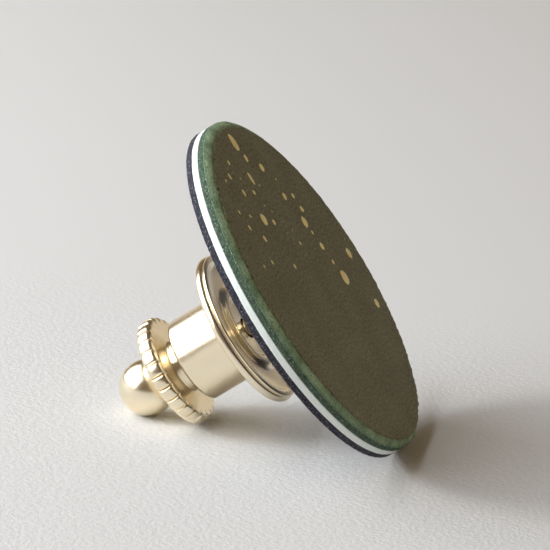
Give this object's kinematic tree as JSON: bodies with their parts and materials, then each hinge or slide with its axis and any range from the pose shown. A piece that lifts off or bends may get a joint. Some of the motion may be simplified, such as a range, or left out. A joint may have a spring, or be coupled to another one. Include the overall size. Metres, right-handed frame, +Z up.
{
  "type": "tie tack badge",
  "caption": "Round laminated badge with a tie tack post and a ball-lock clutch that has a flanged barrel, a milled ring and a ball knob, lying on its rim and ring.",
  "frame": {"origin": "on the surface that the badge lies on, under the middle of the whole object's box", "axes": "+Z up, +X horizontally to the side that the badge's face looks to, +Y across the badge; the post's axis lies in the XZ plane and slopes 38 degrees, down towards -X"},
  "size_m": [0.0204, 0.025, 0.0206],
  "materials": {
    "face": "matt fine-grained olive brown with gold flecks",
    "light_green": "matt, rubbed rounded edge",
    "dark_green": "rough cut edge",
    "white": "matt cut edge",
    "navy": "rough cut edge with pale fibres",
    "adhesive": "clear set film",
    "pale_brass": "polished pale gold plate",
    "braze": "satin silver fillet",
    "steel": "polished steel"
  },
  "bodies": {
    "badge": {"face_sheet": "face", "light_green_ply": "light_green", "dark_green_ply": "dark_green", "white_ply": "white", "navy_ply": "navy", "pad_adhesive": "adhesive", "tack_pad": "pale_brass", "tack_post": "pale_brass", "post_braze": "braze"},
    "lock": {"lock_cone": "steel"},
    "housing": {"clutch_front_plate": "pale_brass", "clutch_shell": "pale_brass"},
    "spring": {"knob_spring": "steel"},
    "knob": {"ball_cage": "pale_brass", "knurled_ring": "pale_brass", "ball_knob": "pale_brass"},
    "ball_1": {"lock_ball_1": "steel"},
    "ball_2": {"lock_ball_2": "steel"},
    "ball_3": {"lock_ball_3": "steel"}
  },
  "joints": [
    {"name": "clutch_pull_off", "type": "slide", "parent": "badge", "child": "lock", "axis": [-0.7885, 0, -0.615], "range_m": [-0.0007, 0.009]},
    {"name": "clutch_spin", "type": "hinge", "parent": "lock", "child": "housing", "pos_m": [-0.00139, 0, 0.00725], "axis": [-0.7885, 0, -0.615], "continuous": true},
    {"name": "knob_spin", "type": "hinge", "parent": "housing", "child": "spring", "pos_m": [-0.0059, 0, 0.00372], "axis": [-0.7885, 0, -0.615], "continuous": true},
    {"name": "knob_pull", "type": "slide", "parent": "spring", "child": "knob", "axis": [-0.7885, 0, -0.615], "range_m": [0, 0.0008], "stiffness_N_per_m": 1500, "springref_m": -0.001, "deforming": ["knob_spring"]},
    {"name": "ball_1_spread", "type": "slide", "parent": "knob", "child": "ball_1", "axis": [-0.615, 0, 0.7885], "range_m": [0, 0.000171]},
    {"name": "ball_2_spread", "type": "slide", "parent": "knob", "child": "ball_2", "axis": [0.3075, -0.866, -0.3942], "range_m": [0, 0.000171]},
    {"name": "ball_3_spread", "type": "slide", "parent": "knob", "child": "ball_3", "axis": [0.3075, 0.866, -0.3942], "range_m": [0, 0.000171]}
  ],
  "couplings": [
    {"joint": "ball_1_spread", "follows": "knob_pull", "ratio": 0.21256},
    {"joint": "ball_2_spread", "follows": "knob_pull", "ratio": 0.21256},
    {"joint": "ball_3_spread", "follows": "knob_pull", "ratio": 0.21256}
  ]
}
